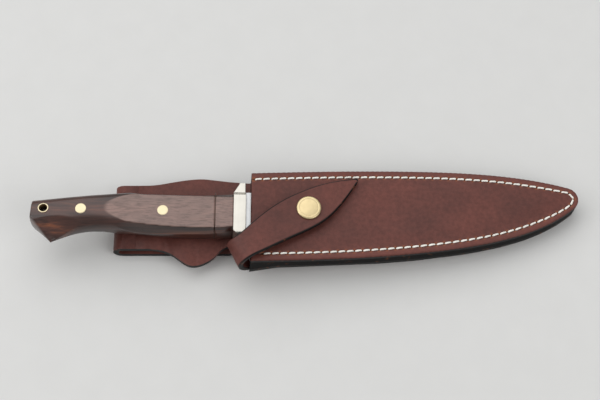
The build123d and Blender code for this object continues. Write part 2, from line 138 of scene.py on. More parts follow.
class StageSettings(bpy.types.PropertyGroup):
    """The floor and the camera."""

    floor_color: swatch("Floor", "Plain pale floor", (0.62, 0.62, 0.61))
    camera_distance: size("Camera distance", "Camera to the point it looks at", 0.850)
    camera_elevation: bpy.props.FloatProperty(
        name="Camera elevation",
        description="Angle above the floor",
        default=math.radians(66.0),
        subtype="ANGLE",
    )
    camera_lens: bpy.props.FloatProperty(name="Lens", description="Focal length", default=85.0, unit="CAMERA")


# ---------------------------------------------------------------- curves
def running_length(points):
    """How far along a line of points each one lies."""
    return np.r_[0, np.cumsum(np.linalg.norm(np.diff(points, axis=0), axis=1))]


def spline(knots, values, at, start=None, end=None):
    """A cubic spline through values at the knots: its second derivatives solve the usual band of equations.

    A slope may be given at either end; where none is given the curve ends straight."""
    knots, values = np.asarray(knots, float), np.asarray(values, float)
    if values.ndim == 1:
        values = values[:, None]
    count = len(knots)
    step = np.diff(knots)
    chord = np.diff(values, axis=0) / step[:, None]
    matrix = np.zeros((count, count))
    right = np.zeros((count, values.shape[1]))
    inner = np.arange(1, count - 1)
    matrix[inner, inner - 1] = step[:-1]
    matrix[inner, inner] = 2 * (step[:-1] + step[1:])
    matrix[inner, inner + 1] = step[1:]
    right[inner] = 6 * (chord[1:] - chord[:-1])
    matrix[0, 0] = matrix[-1, -1] = 1
    if start is not None:
        matrix[0, :2] = 2 * step[0], step[0]
        right[0] = 6 * (chord[0] - start)
    if end is not None:
        matrix[-1, -2:] = step[-1], 2 * step[-1]
        right[-1] = 6 * (end - chord[-1])
    second = np.linalg.solve(matrix, right)
    at = np.asarray(at, float)
    k = np.clip(np.searchsorted(knots, at) - 1, 0, count - 2)
    t = (at - knots[k])[:, None]
    h = step[k][:, None]
    result = (
        values[k]
        + t * (chord[k] - h * (2 * second[k] + second[k + 1]) / 6)
        + t**2 * second[k] / 2
        + t**3 * (second[k + 1] - second[k]) / (6 * h)
    )
    return result[:, 0] if result.shape[1] == 1 else result


def curve_through(points, count, start=None, end=None):
    """A smooth plane curve through points: a cubic spline in the running chord length."""
    points = np.asarray(points, float)
    length = running_length(points)
    return spline(length, points, np.linspace(0, length[-1], count), start, end)


def even(points, count, closed=False):
    """The same curve with its points an even distance apart along it."""
    points = np.asarray(points, float)
    if closed:
        points = np.vstack([points, points[:1]])
    length = running_length(points)
    at = np.linspace(0, length[-1], count + 1 if closed else count)
    if closed:
        at = at[:-1]
    return np.stack([np.interp(at, length, points[:, i]) for i in range(points.shape[1])], -1)


def smoothstep(low, high, x):
    """0 below low, 1 above high, and 3t^2 - 2t^3 between."""
    t = np.clip((x - low) / (high - low), 0, 1)
    return t * t * (3 - 2 * t)


def bell(t):
    """1 at t = 0, falling off both ways as exp(-t^2)."""
    return np.exp(-(t**2))


def quarter(t):
    """A quarter circle, the root of 1 - t^2: 1 up to t = 0, and down to 0 at t = 1."""
    return np.sqrt(np.clip(1 - np.clip(t, 0, 1) ** 2, 0, 1))


# ---------------------------------------------------------------- meshes
MERGE = 1e-6  # points nearer to each other than this, in metres, are one


def add_object(name, data):
    """A new object in the scene."""
    obj = bpy.data.objects.new(name, data)
    bpy.context.scene.collection.objects.link(obj)
    return obj


@contextmanager
def reshaped(obj):
    """A piece's mesh, open for changes that are written back at the end."""
    work = bmesh.new()
    work.from_mesh(obj.data)
    yield work
    work.to_mesh(obj.data)
    work.free()


def mesh_piece(name, vertices, faces, body, finish, replaces=(), uv=None):
    """Makes a piece from vertices in millimetres and quads, ties it to the frame and cleans it.

    A piece without a body is left untied."""
    mesh = bpy.data.meshes.new(name)
    mesh.from_pydata(lay(vertices), [], [])
    faces = np.asarray(faces, np.int32)
    mesh.loops.add(faces.size)
    mesh.polygons.add(len(faces))
    mesh.loops.foreach_set("vertex_index", faces.ravel())
    mesh.polygons.foreach_set("loop_start", np.arange(0, faces.size, faces.shape[1], dtype=np.int32))
    mesh.polygons.foreach_set("use_smooth", np.full(len(faces), True))
    if uv is not None:
        layer = mesh.uv_layers.new(name="UVMap")
        layer.data.foreach_set("uv", np.asarray(uv, np.float32)[faces.ravel()].ravel())
    mesh.update()
    mesh.validate()
    obj = add_object(name, mesh)
    mesh.materials.append(finish_of(finish))
    if body:
        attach(obj, body)
    if replaces:
        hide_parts(*replaces)
    return clean(obj)


def skin(name, surface, body, finish, replaces):
    """A piece from rows of points, each row closed round on itself."""
    faces = grid_faces(len(surface), surface.shape[1], wrap_columns=True)
    return mesh_piece(name, surface.reshape(-1, 3), faces, body, finish, replaces)


def grid_faces(rows, columns, wrap_rows=False, wrap_columns=False):
    """Quads over a grid of points, row by row, joined round where it wraps."""
    i = np.arange(rows if wrap_rows else rows - 1)[:, None]
    j = np.arange(columns if wrap_columns else columns - 1)[None, :]
    a = i * columns + j
    b = i * columns + (j + 1) % columns
    c = ((i + 1) % rows) * columns + (j + 1) % columns
    d = ((i + 1) % rows) * columns + j
    return np.stack([a + 0 * b, b, c, d], -1).reshape(-1, 4)


def clean(obj):
    """Merges points that coincide and turns the faces outwards."""
    with reshaped(obj) as work:
        bmesh.ops.remove_doubles(work, verts=work.verts, dist=MERGE)
        bmesh.ops.dissolve_degenerate(work, edges=work.edges, dist=MERGE)
        bmesh.ops.recalc_face_normals(work, faces=work.faces)
    return obj


def unlay(obj):
    """A piece's points back in millimetres in the knife's own frame."""
    points = np.empty(len(obj.data.vertices) * 3)
    obj.data.vertices.foreach_get("co", points)
    x, y, z = (points.reshape(-1, 3) * 1000 - ORIGIN).T
    return np.stack([x * TILT_COS - z * TILT_SIN, y, x * TILT_SIN + z * TILT_COS], -1)


# ---------------------------------------------------------------- finishes
class Finish:
    """A principled material and the nodes that feed its shader."""

    def __init__(self, name, rough, metal=0.0, specular=0.5):
        self.material = bpy.data.materials.new(name)
        self.material.use_nodes = True
        self.nodes, self.links = self.material.node_tree.nodes, self.material.node_tree.links
        self.shader = self.nodes["Principled BSDF"]
        self.shade({"Roughness": rough, "Metallic": metal, "Specular IOR Level": specular})

    def feed(self, node, inputs):
        """Sets each input to its value, or links it where the value is a socket."""
        for key, value in inputs.items():
            if isinstance(value, bpy.types.NodeSocket):
                self.links.new(value, node.inputs[key])
            else:
                node.inputs[key].default_value = value

    def shade(self, inputs):
        """Sets or links the shader's own inputs."""
        self.feed(self.shader, inputs)

    def node(self, kind, inputs, **settings):
        """A node of the kind, with its settings and its inputs."""
        node = self.nodes.new("ShaderNode" + kind)
        for key, value in settings.items():
            setattr(node, key, value)
        self.feed(node, inputs)
        return node

    def coordinates(self, scale=(1, 1, 1), uv=False):
        """Object coordinates turned to lie along the knife, or UV coordinates, stretched by scale."""
        source = self.node("TexCoord", {}).outputs["UV" if uv else "Object"]
        turn = 0 if uv else -math.atan2(TILT_SIN, TILT_COS)
        inputs = {"Vector": source, "Scale": scale, "Rotation": (0, turn, 0)}
        return self.node("Mapping", inputs).outputs["Vector"]

    def noise(self, vector, scale, detail, rough=0.55, distortion=0.0):
        """Cloudy noise of the given scale."""
        inputs = {"Scale": scale, "Detail": detail, "Roughness": rough, "Distortion": distortion}
        return self.node("TexNoise", {"Vector": vector, **inputs}).outputs["Fac"]

    def stretched(self, scale, detail, rough, distortion=0.0):
        """Noise drawn out by a different scale along each axis."""
        return self.noise(self.coordinates(scale), 1.0, detail, rough, distortion)

    def ramp(self, fac, stops):
        """Colours, or greys, at places between 0 and 1."""
        node = self.node("ValToRGB", {"Fac": fac})
        elements = node.color_ramp.elements
        while len(elements) < len(stops):
            elements.new(0.5)
        for element, (place, color) in zip(elements, stops):
            element.position = place
            element.color = (*color, 1) if hasattr(color, "__len__") else (color, color, color, 1)
        return node.outputs["Color"]

    def mix(self, fac, a, b, mode="MIX"):
        """Two colours mixed; each is a socket or a colour."""
        a, b = (color if isinstance(color, bpy.types.NodeSocket) else (*color, 1) for color in (a, b))
        return self.node("Mix", {0: fac, 6: a, 7: b}, data_type="RGBA", blend_type=mode).outputs[2]

    def tone(self, color, fac, stops):
        """A colour multiplied by the greys of a ramp."""
        return self.mix(1.0, color, self.ramp(fac, stops), "MULTIPLY")

    def maths(self, operation, a, b):
        """One sum on sockets or numbers."""
        return self.node("Math", {0: a, 1: b}, operation=operation).outputs[0]

    def bump(self, height, distance, strength):
        """Bends the shading by a height that spans distance metres."""
        node = self.node("Bump", {"Height": height, "Distance": distance, "Strength": strength})
        self.shade({"Normal": node.outputs["Normal"]})

    def painted(self, name):
        """A number painted on the mesh."""
        return self.node("Attribute", {}, attribute_name=name).outputs["Fac"]


# what shows where the leather is bare of dye: at an awl's hole, on a worn edge and on a stacked edge
BARE_HOLE, BARE_SPOT, BARE_STACK = (0.36, 0.12, 0.045), (0.30, 0.10, 0.035), (0.16, 0.05, 0.02)
EDGE_WEAR = 0.35  # how strongly the bare spots show on a cut edge
FLAT_PAINTED_SHEEN = (0.300, 0.190, 0.160)  # pale colour mixed into the ground flats: a painted reflection of the light
PATINA, FIBRE = (0.10, 0.06, 0.025), (0.050, 0.028, 0.020)


def scaled(color, factor):
    """A colour made lighter or darker."""
    return tuple(min(1.0, channel * factor) for channel in color)


def leather_material(name, color, edge):
    """Oiled leather: cloudy dye, fine pebbled grain, a darkened burnished edge with a few raw spots.

    The attribute "edge" is 1 on the cut edge and 0 on the face, "rim" lifts the colour outside the seam, and
    "hole" bares the undyed leather that the awl pushed up."""
    finish = Finish(name, 0.44, specular=0.24)
    vector = finish.coordinates()
    clouds = finish.noise(vector, 38.0, 5.0, 0.6, 0.4)
    fine = finish.noise(vector, 420.0, 3.0, 0.6)
    face = finish.ramp(clouds, [(0.30, scaled(color, 0.78)), (0.52, color), (0.74, scaled(color, 1.22))])
    face = finish.tone(face, finish.noise(vector, 11.0, 3.0, 0.5), [(0.35, 0.88), (0.65, 1.08)])
    face = finish.tone(face, fine, [(0.35, 0.86), (0.65, 1.10)])
    face = finish.mix(finish.painted("rim"), face, scaled(color, 1.6))
    face = finish.mix(finish.painted("hole"), face, BARE_HOLE)
    raw = finish.ramp(finish.noise(vector, 240.0, 4.0, 0.7), [(0.60, 0.0), (0.68, 1.0)])
    cut = finish.mix(finish.maths("MULTIPLY", raw, EDGE_WEAR), edge, BARE_SPOT)
    sheen = finish.ramp(clouds, [(0.3, 0.40), (0.7, 0.54)])
    on_edge = finish.painted("edge")
    finish.shade({
        "Base Color": finish.mix(on_edge, face, cut),
        "Roughness": finish.mix(on_edge, sheen, (0.50, 0.50, 0.50)),
    })
    pebbles = finish.node("TexVoronoi", {"Scale": 900.0, "Vector": vector}).outputs["Distance"]
    height = finish.maths("ADD", finish.maths("MULTIPLY", pebbles, 0.5), fine)
    creases = finish.noise(vector, 60.0, 6.0, 0.7, 1.2)
    height = finish.maths("ADD", height, finish.maths("MULTIPLY", creases, 1.6))
    finish.bump(height, 0.00010, 0.8)
    return finish.material


def edge_material(name, edge):
    """Stacked leather edges, dyed and burnished, with faint lines where the layers meet."""
    finish = Finish(name, 0.50, specular=0.06)
    spots = finish.noise(finish.coordinates(), 240.0, 4.0, 0.7)
    finish.shade({"Base Color": finish.ramp(spots, [(0.60, edge), (0.70, BARE_STACK)])})
    finish.bump(finish.stretched((60, 60, 1400), 3.0, 0.6), 0.00015, 0.7)
    return finish.material


def thread_material(name, color):
    """Waxed thread: two plies twisted round each other, slightly soiled, with painted shade in the grooves
    between the plies.
    """
    finish = Finish(name, 0.62, specular=0.3)
    finish.shade({"Sheen Weight": 0.25})
    inputs = {"Scale": 0.42, "Vector": finish.coordinates(uv=True)}
    plies = finish.node("TexWave", inputs, bands_direction="DIAGONAL").outputs["Fac"]
    soil = finish.noise(finish.coordinates(), 120.0, 3.0)
    tint = finish.ramp(soil, [(0.35, scaled(color, 0.86)), (0.62, color)])
    # painted shade: the colour darkens to 0.80 in the grooves between the plies
    finish.shade({"Base Color": finish.tone(tint, plies, [(0.0, 0.80), (0.45, 1.0)])})
    finish.bump(plies, 0.00015, 0.8)
    return finish.material


def wood_material(name, dark, streak):
    """Dense dark wood under a polish: long uneven streaks, fine pores along the grain, a slow change of tone.

    The attribute "flat" is 1 where the wood was ground flat and left with a finer, drier finish; there a pale
    painted reflection of the light lightens its colour."""
    finish = Finish(name, 0.30, specular=0.5)
    finish.shade({"Coat Weight": 0.25, "Coat Roughness": 0.18})
    bands = finish.stretched((9, 62, 62), 6.0, 0.62, 1.4)
    fibres = finish.stretched((30, 700, 700), 4.0, 0.6)
    patches = finish.stretched((22, 40, 40), 3.0, 0.5)
    flecks = finish.stretched((170, 1300, 1300), 3.0, 0.6)
    figure = finish.stretched((60, 190, 190), 4.0, 0.6, 0.8)
    streaks = [(0.34, scaled(dark, 0.45)), (0.47, dark), (0.58, scaled(dark, 1.7)), (0.70, streak)]
    polished = finish.ramp(bands, streaks)
    polished = finish.tone(polished, patches, [(0.35, 0.65), (0.68, 1.35)])
    polished = finish.tone(polished, fibres, [(0.36, 0.55), (0.50, 1.0)])
    # the ground flats: the polished wood mixed with a painted reflection of the light, then flecked
    ground = finish.mix(0.55, polished, FLAT_PAINTED_SHEEN)
    ground = finish.tone(ground, flecks, [(0.36, 0.68), (0.52, 1.05)])
    ground = finish.tone(ground, figure, [(0.32, 0.80), (0.66, 1.22)])
    gloss = finish.ramp(patches, [(0.3, 0.26), (0.7, 0.38)])
    flat = finish.painted("flat")
    finish.shade({
        "Base Color": finish.mix(flat, polished, ground),
        "Roughness": finish.mix(flat, gloss, (0.42, 0.42, 0.42)),
    })
    finish.bump(fibres, 0.00004, 0.6)
    return finish.material


def metal_material(name, color, rough, brush, depth=0.00002):
    """Polished metal with fine brush lines, a little tarnish and small scratches."""
    finish = Finish(name, rough, metal=1.0)
    lines = finish.stretched(brush, 3.0, 0.6)
    tarnish = finish.noise(finish.coordinates(), 90.0, 4.0, 0.6)
    finish.shade({
        "Base Color": finish.ramp(tarnish, [(0.30, scaled(color, 0.90)), (0.60, color)]),
        "Roughness": finish.ramp(lines, [(0.25, rough * 0.88), (0.75, min(1.0, rough * 1.15))]),
    })
    finish.bump(lines, depth, 0.5)
    return finish.material


def plain_material(name, color, rough):
    """Fibre or floor: nearly even, with a trace of mottling."""
    finish = Finish(name, rough, specular=0.3)
    mottle = finish.noise(finish.coordinates(), 60.0, 3.0)
    shades = [(0.3, scaled(color, 0.99)), (0.7, scaled(color, 1.01))]
    finish.shade({"Base Color": finish.ramp(mottle, shades)})
    return finish.material


def paint(obj, name, values):
    """Stores one number for each point of a piece, for its material to read."""
    layer = obj.data.attributes.new(name, "FLOAT", "POINT")
    layer.data.foreach_set("value", np.asarray(values, np.float32).ravel())


MATERIALS = {}


def finish_of(name):
    """The material of that name, made once from the settings."""
    sheath, knife = bpy.context.scene.sheath_settings, bpy.context.scene.knife_settings
    makers = {
        "oiled_leather": (leather_material, sheath.leather_color, sheath.edge_color),
        "burnished_edge": (edge_material, sheath.edge_color),
        "waxed_thread": (thread_material, sheath.thread_color),
        "polished_wood": (wood_material, knife.wood_color, knife.streak_color),
        "pin_metal": (metal_material, knife.brass_color, 0.36, (500, 500, 500)),
        "snap_metal": (metal_material, knife.cap_color, 0.42, (300, 300, 300), 0.00001),
        "guard_metal": (metal_material, knife.guard_color, 0.34, (900, 40, 900), 0.000008),
        "satin_steel": (metal_material, knife.steel_color, 0.32, (900, 50, 900)),
        "patina": (metal_material, PATINA, 0.6, (500, 500, 500)),
        "fibre": (plain_material, FIBRE, 0.6),
    }
    if name not in MATERIALS:
        maker, *values = makers[name]
        MATERIALS[name] = maker(name, *values)
    return MATERIALS[name]


# ---------------------------------------------------------------- sheath
FRONT_LOW, FRONT_HIGH = 3.0, 6.2  # the front panel's two faces, above the blade's middle plane
WALL_HIGH = 5.2  # the rows of its upright wall are spaced down from here
TIP_RADIUS, TIP_LENGTH, TIP_Y = 7.4, 197.0, 15.2
TIP_ARC = (75, -50)  # degrees, from the upper rim round to the lower
TOP_RIM = ((0, 26.8), (48, 29.3), (100, 30.7), (150, 29.2))
LOW_RIM = ((160, -9.2), (123, -18.4), (76, -24.7), (30, -28.0), (0, -29.3))
RIM_COUNT = 1200
BLADE_LINE = ((15.0, 0.0), (174.0, 13.0))  # the blade's middle, under the front panel
BLADE_RUN = (8, 190)  # the part of the outline that is spread along it
SEAM_START, SEAM_END = 1.5, 7.5  # the seam's two ends to the mouth
BACK_SEAM_START = 19.0  # the back's seam starts past the belt loop's root
FRONT_SINK, BACK_SINK, TAB_SINK = 0.10, 0.42, 0.32  # how far each row of stitches sits in its leather
STITCH_GAP = 0.045  # share of a stitch that is hidden in each of its holes
# the seam margin loses this share round the tip, over this run, centred this far past the tip
TIP_NARROWING, NARROWING_RUN, NARROWING_SHIFT = 0.32, 20.0, 4.0
ROUNDING = 0.85  # height of the panels' rounded edge
# rows of the panel's mesh by their distance from the rim: close together at the rounding and at the groove
RIM_ROWS = (0, 0.12, 0.3, 0.55, 0.85, 1.2, 1.8, 2.5, 3.1, 3.4, 3.65, 3.9, 4.15, 4.4, 4.65, 4.9, 5.3, 6.0, 7.0)


def sheath_rim():
    """The sewn rim from the mouth's top round the tip to the mouth's foot: two splines joined by an arc."""
    angle = np.radians(np.linspace(*TIP_ARC, 60))
    center = np.array([TIP_LENGTH - TIP_RADIUS, TIP_Y])
    arc = center + TIP_RADIUS * np.stack([np.cos(angle), np.sin(angle)], -1)
    first, last = angle[0], angle[-1]
    top = curve_through([*TOP_RIM, arc[0]], 200, (1, 0.06), (math.sin(first), -math.cos(first)))
    low = curve_through([arc[-1], *LOW_RIM], 240, (math.sin(last), -math.cos(last)), (-1, -0.04))
    return even(np.vstack([top[:-1], arc, low[1:]]), RIM_COUNT)


RIM = sheath_rim()
RIM_STEP = np.linalg.norm(np.diff(RIM, axis=0), axis=1).mean()
RIM_AROUND = np.arange(RIM_COUNT) * RIM_STEP
RIM_TANGENT = np.gradient(RIM, axis=0)
RIM_TANGENT /= np.linalg.norm(RIM_TANGENT, axis=1)[:, None]
RIM_INWARD = np.stack([RIM_TANGENT[:, 1], -RIM_TANGENT[:, 0]], -1)


def rim_distance(points):
    """For each plane point, how far the nearest rim point lies and how far round the rim that is, in mm.

    Points are taken a few thousand at a time, to spare memory."""
    nearest, distance = [], []
    for block in np.array_split(points, len(points) // 4000 + 1):
        apart = np.linalg.norm(block[:, None] - RIM[None], axis=2)
        nearest.append(apart.argmin(1))
        distance.append(apart.min(1))
    return np.concatenate(distance), np.concatenate(nearest) * RIM_STEP


def seam_margin_at(around, settings):
    """Seam margin at a distance round the rim: its usual width, less a third round the tip."""
    tip = RIM[:, 0].argmax() * RIM_STEP + NARROWING_SHIFT
    return mm(settings.seam_margin) * (1 - TIP_NARROWING * bell((around - tip) / NARROWING_RUN))


def stitch_holes(settings):
    """The stitch holes, evenly spaced along the stitch line, and how far round the rim each one is.

    The stitch line is the rim moved in by the seam margin."""
    line = RIM + RIM_INWARD * seam_margin_at(RIM_AROUND, settings)[:, None]
    length = running_length(line)
    first, last = SEAM_START, length[-1] - SEAM_END
    at = np.linspace(first, last, int(round((last - first) / mm(settings.stitch_pitch))) + 1)
    points = np.stack([np.interp(at, length, line[:, i]) for i in (0, 1)], -1)
    return points, np.interp(at, length, RIM_AROUND)


def near_seam(points, settings):
    """For plane points: distance from the rim, from the stitch line and, along the seam, from the nearest
    hole, in mm; and whether the seam runs there at all."""
    distance, around = rim_distance(points)
    _, places = stitch_holes(settings)
    phase = np.interp(around, places, np.arange(len(places)))
    hole = (phase - np.round(phase)) * mm(settings.stitch_pitch)
    sewn = (around > places[0] - SEAM_START) & (around < places[-1] + SEAM_START)
    return distance, distance - seam_margin_at(around, settings), hole, sewn


def panel_relief(points, settings):
    """Height of the panel's face over its flat: a rounded edge, the sewn groove with a dimple at each hole,
    the leather pulled down round it, and a low, slightly wavy swell over the blade inside."""
    distance, across, along, sewn = near_seam(points, settings)
    mouth = points[:, 0]
    edge = np.minimum(distance, mouth)
    rounding = ROUNDING * (1 - quarter(1 - np.clip(edge, 0, 1)))
    groove = mm(settings.groove_depth) * bell(across / 0.62) ** 1.4 * smoothstep(0.0, 2.0, mouth)
    hole = bell(along / 0.7) * sewn
    dimple = 0.45 * hole * bell(across / 0.65)
    pulled = 0.10 * hole * bell(across / 2.2)
    swell = 0.32 * smoothstep(5.0, 15.0, distance) * smoothstep(0.0, 4.0, mouth)
    waves = 0.07 * np.sin(mouth * 0.11 + points[:, 1] * 0.23) * np.sin(points[:, 1] * 0.31 - 1.0)
    waves = waves * smoothstep(6.0, 14.0, distance)
    return swell + waves - rounding - groove - dimple - pulled


def panel_grid():
    """Plane points of a panel: rows step in from the rim, then run to the line of the blade.

    A point of the outline moves towards its own point of the blade's line, so no two rows cross."""
    mouth = np.linspace(RIM[-1], RIM[0], 110)[1:-1]
    outline = even(np.vstack([RIM, mouth]), 760, closed=True)
    a, b = (np.array(end) for end in BLADE_LINE)
    low, high = BLADE_RUN
    run = np.clip((outline[:, 0] - low) / (high - low), 0, 1)
    share = 0.35 * smoothstep(0, 1, run) + 0.65 * run
    target = a + share[:, None] * (b - a)
    span = np.linalg.norm(target - outline, axis=1)
    near, last = np.array(RIM_ROWS)[:, None], RIM_ROWS[-1]
    rest = np.linspace(0, 1, 16)[1:, None]
    steps = np.vstack([np.minimum(near, 0.9 * span), last + (span - last) * rest])
    steps = np.maximum.accumulate(np.minimum(steps, span), axis=0)
    fraction = (steps / span)[..., None]
    return outline[None] * (1 - fraction) + target[None] * fraction


def paint_panel(obj, settings):
    """Marks the cut edge (below the face by more than its rounding), the lighter rim outside the seam, and a
    spot at each stitch hole that falls off as exp(-r^2), wider across the row than along it."""
    points = unlay(obj)
    below = FRONT_HIGH - points[:, 2]
    distance, across, along, sewn = near_seam(points[:, :2], settings)
    rim = smoothstep(0.4, 1.2, distance) * (1 - smoothstep(2.6, 3.6, distance))
    paint(obj, "edge", smoothstep(0.40, 0.80, below))
    paint(obj, "hole", bell(along / 0.75) * bell(across / 1.05) * sewn * (below < 1.2))
    paint(obj, "rim", 0.30 * rim * (below < 0.6))


def level(rows, z):
    """Rows of plane points, all put at one height."""
    return np.dstack([rows, np.full(rows.shape[:2], z)])


class SHEATH_OT_front(bpy.types.Operator):
    """Builds the front panel with its sewn groove and rounded edge"""

    bl_idname = "sheath_knife.front"
    bl_label = "Front panel"

    def execute(self, context):
        settings = context.scene.sheath_settings
        grid = panel_grid()
        flat = grid.reshape(-1, 2)
        face = np.column_stack([flat, FRONT_HIGH + panel_relief(flat, settings)])
        top = face.reshape(*grid.shape[:2], 3)[::-1]
        wall = [level(grid[:1], z) for z in np.linspace(WALL_HIGH, FRONT_LOW, 5)[1:]]
        surface = np.concatenate([top, *wall, level(grid[::3], FRONT_LOW)[1:]])
        obj = skin("front_leather", surface, "sheath", "oiled_leather", ("front_panel",))
        paint_panel(obj, settings)
        return {"FINISHED"}


def stitches(name, line, surface, up, width, arch=0.30, slant=0.14, sink=0.55, around=10, along=13):
    """A row of stitches, each a bead of two twisted plies whose radius swells from its holes.

    line runs from hole to hole. surface is the height of the leather under it, and up the side it is seen
    from. A bead arches by arch, dips by sink at its holes, and lies aslant by slant of its width."""
    starts, run = line[:-1, None, None], np.diff(line, axis=0)
    length = np.linalg.norm(run, axis=1)
    side = np.stack([-run[:, 1], run[:, 0]], -1) / length[:, None]
    t = np.linspace(0, 1, along)
    angle = np.linspace(0, 2 * math.pi, around, endpoint=False)
    swell = np.clip(1 - np.abs(2 * t - 1) ** 5, 0, 1) ** 0.5
    place = STITCH_GAP + (1 - 2 * STITCH_GAP) * t
    radius = width / 2 * swell[:, None] * (1 + 0.10 * np.cos(2 * angle[None] - 9 * t[:, None]))
    across = radius * np.cos(angle)[None] + (slant * width * (2 * t - 1))[:, None]
    rise = radius * np.sin(angle)[None] * 0.8 + (arch * np.sin(math.pi * t) - sink * (1 - swell))[:, None]
    plane = starts + run[:, None, None] * place[None, :, None, None]
    plane = plane + side[:, None, None] * across[None, :, :, None]
    shape = plane.shape[:3]
    height = surface + up * np.broadcast_to(rise[None], shape)
    vertices = np.concatenate([plane, height[..., None]], -1).reshape(-1, 3)
    turn = np.broadcast_to(angle / (2 * math.pi) * 3, shape)
    uv = np.stack([np.broadcast_to(t[None, :, None] * length[:, None, None], shape), turn], -1).reshape(-1, 2)
    bead = grid_faces(along, around, wrap_columns=True)
    faces = (bead[None] + (np.arange(len(run)) * along * around)[:, None, None]).reshape(-1, 4)
    return mesh_piece(name, vertices, faces, "sheath", "waxed_thread", uv=uv)


class SHEATH_OT_seam(bpy.types.Operator):
    """Sews the rim: a row of stitches on each face"""

    bl_idname = "sheath_knife.seam"
    bl_label = "Seam"

    def execute(self, context):
        settings = context.scene.sheath_settings
        line, _ = stitch_holes(settings)
        width = mm(settings.thread_width)
        front = stitches("front_stitches", line, FRONT_HIGH - FRONT_SINK, 1, width)
        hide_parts("seam_thread")
        line = line[line[:, 0] > BACK_SEAM_START]
        stitches("back_stitches", line, BACK_SINK - FRONT_HIGH, -1, width, arch=0.0)
        return {"FINISHED"}


class SHEATH_OT_tab_seam(bpy.types.Operator):
    """Sews the belt loop's tab to the back panel: stitches round a rectangle"""

    bl_idname = "sheath_knife.tab_seam"
    bl_label = "Loop seam"

    def execute(self, context):
        settings = context.scene.sheath_settings
        width = mm(settings.thread_width)
        points = unlay(frame["nodes"]["loop_thread"])
        low, high = points[:, :2].min(0) + width / 2, points[:, :2].max(0) - width / 2
        corners = np.array([low, (high[0], low[1]), high, (low[0], high[1]), low])
        counts = np.round(np.diff(running_length(corners)) / mm(settings.stitch_pitch)).astype(int)
        sides = [np.linspace(a, b, n + 1)[:-1] for a, b, n in zip(corners, corners[1:], counts)]
        line = np.vstack([*sides, corners[-1:]])
        sewn = stitches("tab_stitches", line, points[:, 2].min() + TAB_SINK, -1, width, arch=0.0)
        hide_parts("loop_thread")
        return {"FINISHED"}


# ---------------------------------------------------------------- strap
STRAP_MID, STRAP_HALF = 11.2, 1.6  # radius of the curl to the leather's middle, and half its thickness
STRAP_ROUNDING = 0.9  # taken off each face at the strap's sides
STRAP_TIP_S, TIP_ROUNDING = 66.9, 2.2  # the tip's place along the strap, and the run over which it closes
TIP_SHARE = 0.62  # how near the point of the tip lies to the strap's upper side, from its lower one
STRAP_UPPER = (
    (-27, -16.5), (-18, -16.2), (-9, -15.6), (-1.2, -9.6),
    (20, 7.8), (31.5, 13.9), (49.5, 20.5), (61.2, 22.9),
)
STRAP_LOWER = (
    (-27, -36), (-18, -34.6), (-9, -32.4), (0.1, -28.7),
    (23.7, -16.7), (44.7, -4.0), (56.4, 10.2), (62.9, 20.6),
)
MOUTH_LOW, MOUTH_WIDTH = -24.5, 8.0  # the strap's lower side and its width where it leaves the mouth
FALL, FALL_FROM, FALL_RUN = 3.0, 38.0, 31.5  # the free end droops by this much, from here on, over this run
BOW, BOW_RUN = 0.35, 40.0  # the strap bows up a little between its curl and the snap
CAP_CENTER = (33.8, 1.9)
CAP_DIP, CAP_DIP_REACH = 0.30, math.sqrt(90.0)  # depth and reach of the hollow that the snap presses


def along_strap(points):
    """Plane points as (s, r): along the strap and square to it."""
    x, y = np.asarray(points, float).T
    c, s = math.cos(STRAP_TURN), math.sin(STRAP_TURN)
    return np.stack([x * c + y * s, -x * s + y * c], -1)


def off_strap(s, r):
    """(s, r) back to plane points."""
    c, k = math.cos(STRAP_TURN), math.sin(STRAP_TURN)
    return s * c - r * k, s * k + r * c


def strap_sides(s):
    """The strap's two sides at s, from its outlines, drawn together round the tip in a quarter circle."""
    high, low = (
        np.interp(s, *along_strap(curve_through(outline, 300)).T) for outline in (STRAP_UPPER, STRAP_LOWER)
    )
    tip = high[-1] * TIP_SHARE + low[-1] * (1 - TIP_SHARE)
    close = quarter((s - (STRAP_TIP_S - TIP_ROUNDING)) / TIP_ROUNDING)
    return tip + (high - tip) * close, tip + (low - tip) * close


def strap_row(s, q):
    """How far square to the strap the points at s lie, at share q of the way from one side to the other."""
    high, low = strap_sides(s.ravel())
    return (high + (low - high) * np.tile(q, len(s))).reshape(s.shape)


def side_spacing(count):
    """Shares from 0 to 1, closer together near both edges: a half cosine mixed with even steps."""
    t = np.linspace(0, 1, count)
    return 0.45 * t + 0.55 * (1 - np.cos(math.pi * t)) / 2


